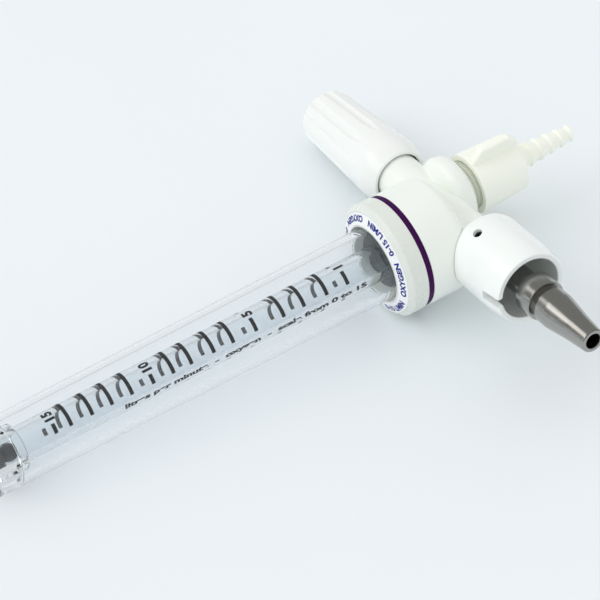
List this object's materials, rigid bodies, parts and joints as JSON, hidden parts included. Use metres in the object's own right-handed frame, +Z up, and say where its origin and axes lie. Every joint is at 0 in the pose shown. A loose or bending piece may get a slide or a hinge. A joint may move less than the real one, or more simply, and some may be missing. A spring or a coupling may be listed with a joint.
{
  "type": "oxygen flowmeter",
  "caption": "Gas flowmeter with a clear gauge tube and ball, a needle valve knob, a turned wall probe in a keyed shroud and a barbed hose outlet with a wing nut.",
  "frame": {"origin": "centre of the bounding box at the floor that the flowmeter lies on", "axes": "+X from the body towards the gauge tube's closed end, +Y towards the wall probe, +Z up from the floor; the gauge tube slopes down 3 degrees along +X and the cross barrel slopes up 9 degrees along +Y, as it lies"},
  "size_m": [0.2414, 0.1548, 0.0409],
  "materials": {
    "body_white": "gloss",
    "collar_white": "gloss",
    "shroud_white": "gloss",
    "knob_white": "gloss",
    "ivory": "satin",
    "label_white": "satin",
    "purple": "satin",
    "clear_plastic": "gloss",
    "clear_glass": "gloss",
    "black_plastic": "satin",
    "grey_metal": "satin",
    "brass": "satin",
    "steel": "polished",
    "dark_steel": "satin",
    "seal_rubber": "matte",
    "packing_white": "matte",
    "filter_bronze": "matte"
  },
  "bodies": {
    "housing": {"body": "body_white", "collar": "collar_white", "label_ring": "label_white", "colour_ring": "purple", "outer_tube": "clear_plastic", "outer_tube_seal": "seal_rubber", "flow_tube": "clear_glass", "flow_tube_seal": "seal_rubber", "upper_ball_stop": "black_plastic", "lower_ball_stop": "black_plastic", "tube_seat_nut": "grey_metal", "valve_bonnet": "brass", "bonnet_seal": "seal_rubber", "spindle_seal": "packing_white", "gland_nut": "brass", "probe": "steel", "probe_seal": "seal_rubber", "inlet_filter": "filter_bronze", "shroud": "shroud_white", "shroud_screw": "dark_steel"},
    "ball": {"float_ball": "black_plastic"},
    "knob": {"control_knob": "knob_white", "valve_spindle": "brass", "knob_screw": "dark_steel", "knob_cap": "knob_white"},
    "needle": {"valve_needle": "brass"},
    "nipple": {"hose_nipple": "ivory", "nipple_seal": "seal_rubber"},
    "nut": {"wing_nut": "ivory"}
  },
  "joints": [
    {"name": "knob_turn", "type": "hinge", "parent": "housing", "child": "knob", "pos_m": [-0.06448, -0.05448, 0.0128], "axis": [-0.0085, -0.9874, -0.1581], "range_deg": [0, 2160]},
    {"name": "needle_lift", "type": "slide", "parent": "housing", "child": "needle", "axis": [-0.0085, -0.9874, -0.1581], "range_m": [0, 0.003]},
    {"name": "ball_travel", "type": "slide", "parent": "housing", "child": "ball", "axis": [0.9982, 0, -0.0594], "range_m": [-0.14379, 0]},
    {"name": "nipple_release", "type": "slide", "parent": "housing", "child": "nipple", "axis": [-0.9986, 0, 0.0536], "range_m": [0, 0.00936]},
    {"name": "nut_turn", "type": "hinge", "parent": "nipple", "child": "nut", "pos_m": [-0.0881, -0.0137, 0.02062], "axis": [-0.9986, 0, 0.0536], "range_deg": [0, 2520]}
  ],
  "couplings": [
    {"joint": "needle_lift", "follows": "knob_turn", "m_per_rad": 0.000079577},
    {"joint": "nut_turn", "follows": "nipple_release", "rad_per_m": 4699.5}
  ]
}
